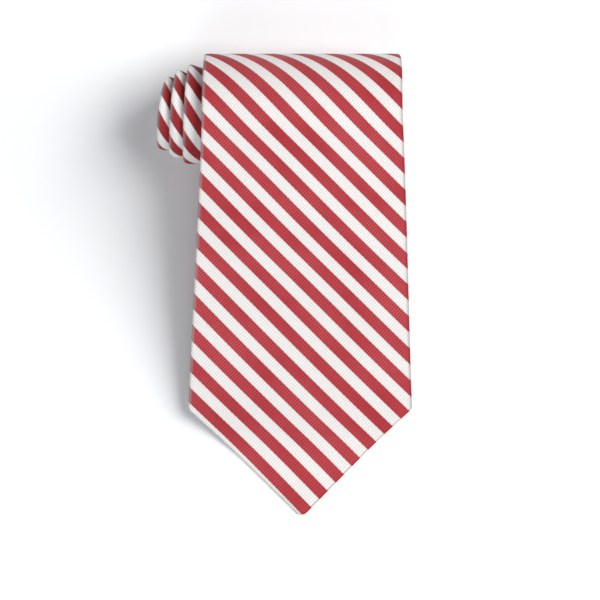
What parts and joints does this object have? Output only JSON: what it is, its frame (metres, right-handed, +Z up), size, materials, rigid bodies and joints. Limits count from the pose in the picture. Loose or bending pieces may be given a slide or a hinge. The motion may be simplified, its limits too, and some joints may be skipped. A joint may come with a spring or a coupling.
{
  "type": "necktie",
  "caption": "Striped necktie rolled up from its narrow end, with the wide pointed blade lying out in front of the coil.",
  "frame": {"origin": "on the floor, under the middle of the tie's box as it lies rolled up", "axes": "+Y from the blade's point towards the coil, +X to the right seen from above with the point towards the viewer, +Z up"},
  "size_m": [0.1082, 0.1946, 0.0514],
  "materials": {
    "striped_cloth": "fine ribbed weave in red and white diagonal stripes, soft sheen",
    "interlining_wool": "brushed natural wool",
    "lining_satin": "plain satin",
    "sewing_thread": "twisted thread",
    "label_ribbon": "blank woven ribbon"
  },
  "bodies": {
    "coil": {"blade_shell_coil": "striped_cloth", "neck_shell": "striped_cloth", "tail_shell": "striped_cloth", "neck_join_stitching": "sewing_thread", "tail_join_stitching": "sewing_thread", "interlining_blade_half": "interlining_wool", "interlining_tail_half": "interlining_wool", "tail_tipping": "lining_satin", "tail_bar_tack": "sewing_thread", "seam_thread_coil": "sewing_thread"},
    "blade": {"blade_shell_flap": "striped_cloth", "interlining_flap": "interlining_wool", "blade_tipping": "lining_satin", "blade_bar_tack": "sewing_thread", "seam_thread_flap": "sewing_thread", "keeper_loop": "striped_cloth", "keeper_tack_left": "sewing_thread", "keeper_tack_right": "sewing_thread", "care_label": "label_ribbon"}
  },
  "joints": [
    {"name": "blade_lift", "type": "hinge", "parent": "coil", "child": "blade", "pos_m": [0.00656, 0.05064, 0.04609], "axis": [-1, 0, 0], "range_deg": [0, 120]}
  ]
}
